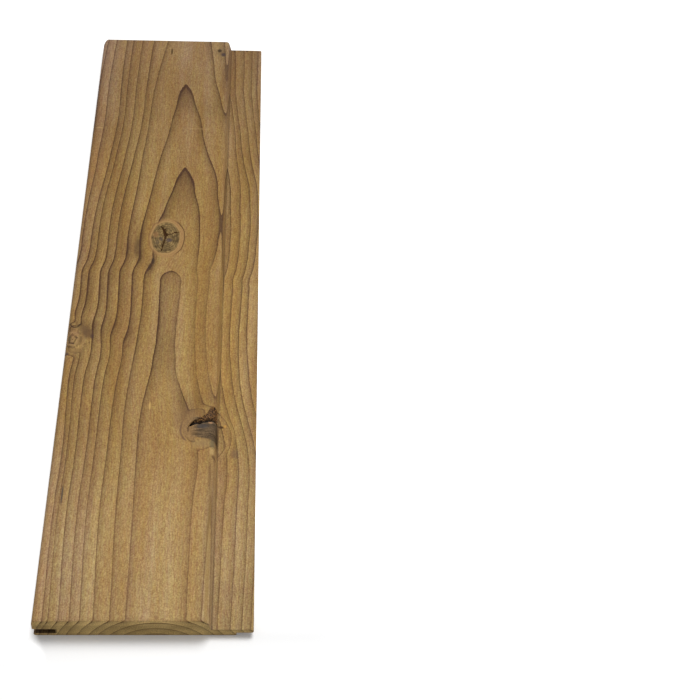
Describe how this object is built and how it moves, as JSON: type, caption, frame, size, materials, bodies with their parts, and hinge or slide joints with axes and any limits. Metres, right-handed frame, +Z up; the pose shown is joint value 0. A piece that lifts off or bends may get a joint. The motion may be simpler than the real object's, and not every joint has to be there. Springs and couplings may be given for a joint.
{
  "type": "tongue and groove board",
  "caption": "Planed softwood cladding board with a groove along its low edge, a tongue along its high edge and an open channel beside the raised face, for covering walls and ceilings.",
  "frame": {"origin": "centre of the board's box, on the flat back that it rests on", "axes": "+X across the board from the groove to the tongue, +Y along the grain, +Z up out of the face"},
  "size_m": [0.14, 0.61, 0.016],
  "materials": {
    "planed_softwood": "planed, uncoated, golden brown with dark growth rings and knots"
  },
  "bodies": {
    "root": {"tongue_and_groove_board": "planed_softwood"}
  },
  "joints": []
}
